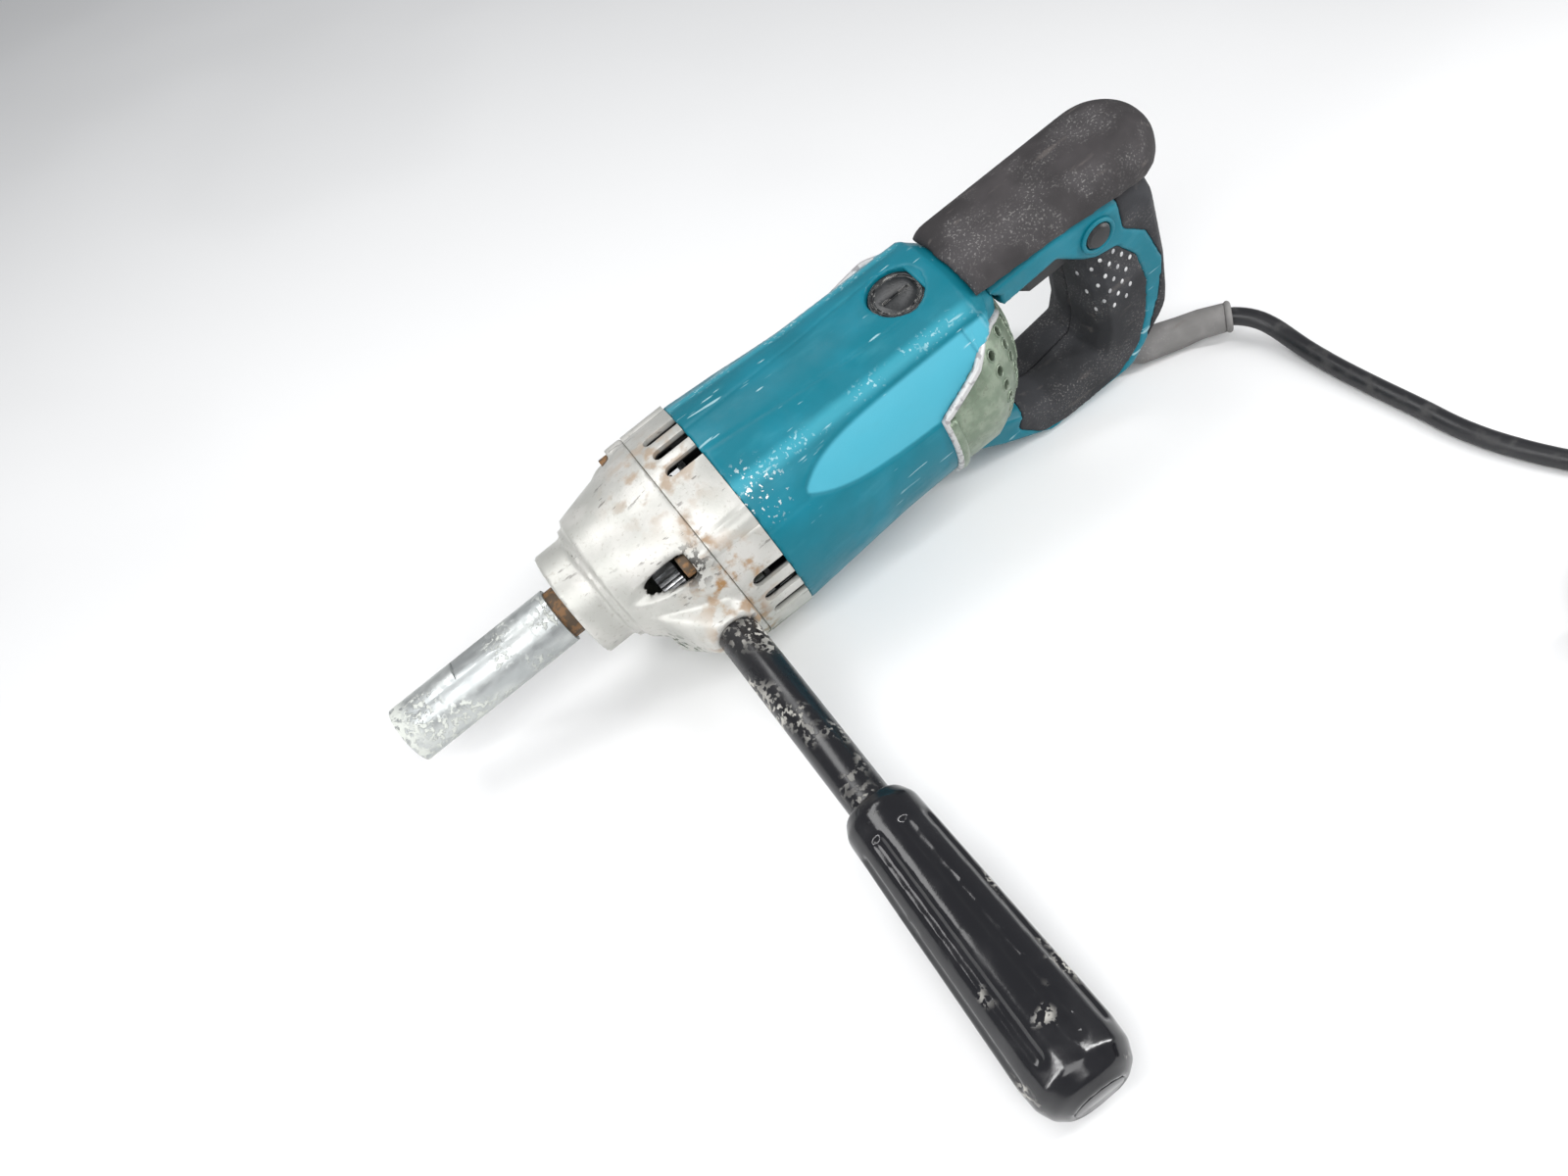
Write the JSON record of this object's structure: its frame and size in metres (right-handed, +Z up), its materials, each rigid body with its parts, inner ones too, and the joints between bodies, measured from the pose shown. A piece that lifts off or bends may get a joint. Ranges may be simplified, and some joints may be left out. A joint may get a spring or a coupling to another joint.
{
  "type": "concrete vibrator drive unit",
  "caption": "Hand-held geared electric drive for a poker vibrator: D-handle with trigger, side handle, vented motor housing, coupling sleeve and mains cord.",
  "frame": {"origin": "on the floor, under the middle of the box round the tool as it lies (mains cord not counted)", "axes": "+Z up; +X from the coupling sleeve towards the D-handle; the side handle points to -Y"},
  "size_m": [0.4772, 0.3847, 0.1351],
  "materials": {
    "teal_plastic": "satin, scuffed and dusty",
    "cast_aluminium": "bead-blasted, stained",
    "cover_metal": "painted pressed sheet, worn at the lip",
    "zinc_steel": "turned and plated, with cement crust",
    "steel": "turned or ground",
    "dark_steel": "blackened",
    "black_tube": "gloss black, spattered",
    "laminations": "stacked sheet",
    "copper": "enamelled wire",
    "bronze": "sintered",
    "black_plastic": "fine grain",
    "grip_plastic": "smooth, spattered",
    "carbon": "pressed graphite",
    "rubber": "matt, dusty",
    "cord_rubber": "smooth, slightly glossy",
    "capacitor_film": "smooth"
  },
  "bodies": {
    "machine": {"spindle_seal": "rubber", "spindle_bearing": "steel", "spindle_bush": "steel", "idler_bushes": "bronze", "gear_housing": "cast_aluminium", "gear_housing_screws": "dark_steel", "vent_ring": "cast_aluminium", "front_bearing": "steel", "rear_bearing": "steel", "bearing_bracket": "black_plastic", "motor_housing": "teal_plastic", "stator_core": "laminations", "field_coils": "copper", "brush_holders": "bronze", "carbon_brushes": "carbon", "brush_springs": "steel", "brush_cap_top": "black_plastic", "brush_cap_low": "black_plastic", "rear_cover": "cover_metal", "handle_shell_left": "teal_plastic", "handle_shell_right": "teal_plastic", "handle_screws": "dark_steel", "top_pad": "rubber", "grip_rubber_left": "rubber", "grip_rubber_right": "rubber", "switch_body": "black_plastic", "capacitor": "capacitor_film", "switch_leads": "cord_rubber", "cord_clamp": "black_plastic", "side_handle_tube": "black_tube", "side_handle_grip": "grip_plastic", "side_handle_cap": "grip_plastic", "cord_guard": "rubber", "cord": "cord_rubber", "cord_coil": "cord_rubber", "cord_tail": "cord_rubber", "cord_tie": "black_plastic", "plug_body": "cord_rubber", "plug_pins": "steel"},
    "spindle_group": {"coupling_sleeve": "zinc_steel", "spindle": "dark_steel", "spindle_gear": "steel"},
    "idler_group": {"idler_pinion": "steel", "idler_gear": "steel"},
    "armature_group": {"armature_shaft": "steel", "armature_core": "laminations", "armature_windings": "copper", "commutator": "copper", "fan": "black_plastic"},
    "trigger_group": {"trigger": "black_plastic"},
    "lock_button_group": {"lock_button": "black_plastic"}
  },
  "joints": [
    {"name": "armature_spin", "type": "hinge", "parent": "machine", "child": "armature_group", "pos_m": [0.01319, 0.10169, 0.05856], "axis": [0.9784, 0, 0.2065], "continuous": true},
    {"name": "idler_spin", "type": "hinge", "parent": "machine", "child": "idler_group", "pos_m": [-0.05611, 0.12334, 0.04794], "axis": [0.9784, 0, 0.2065], "continuous": true},
    {"name": "spindle_spin", "type": "hinge", "parent": "machine", "child": "spindle_group", "pos_m": [-0.10729, 0.09977, 0.04834], "axis": [0.9784, 0, 0.2065], "continuous": true},
    {"name": "trigger_pull", "type": "slide", "parent": "machine", "child": "trigger_group", "axis": [0.9784, 0, 0.2065], "range_m": [0, 0.006], "stiffness_N_per_m": 900, "springref_m": -0.004},
    {"name": "lock_press", "type": "slide", "parent": "machine", "child": "lock_button_group", "axis": [-0.0266, 0.9917, 0.1259], "range_m": [0, 0.003], "stiffness_N_per_m": 700, "springref_m": -0.002}
  ],
  "couplings": [
    {"joint": "idler_spin", "follows": "armature_spin", "ratio": -0.375},
    {"joint": "spindle_spin", "follows": "armature_spin", "ratio": 0.1125}
  ]
}
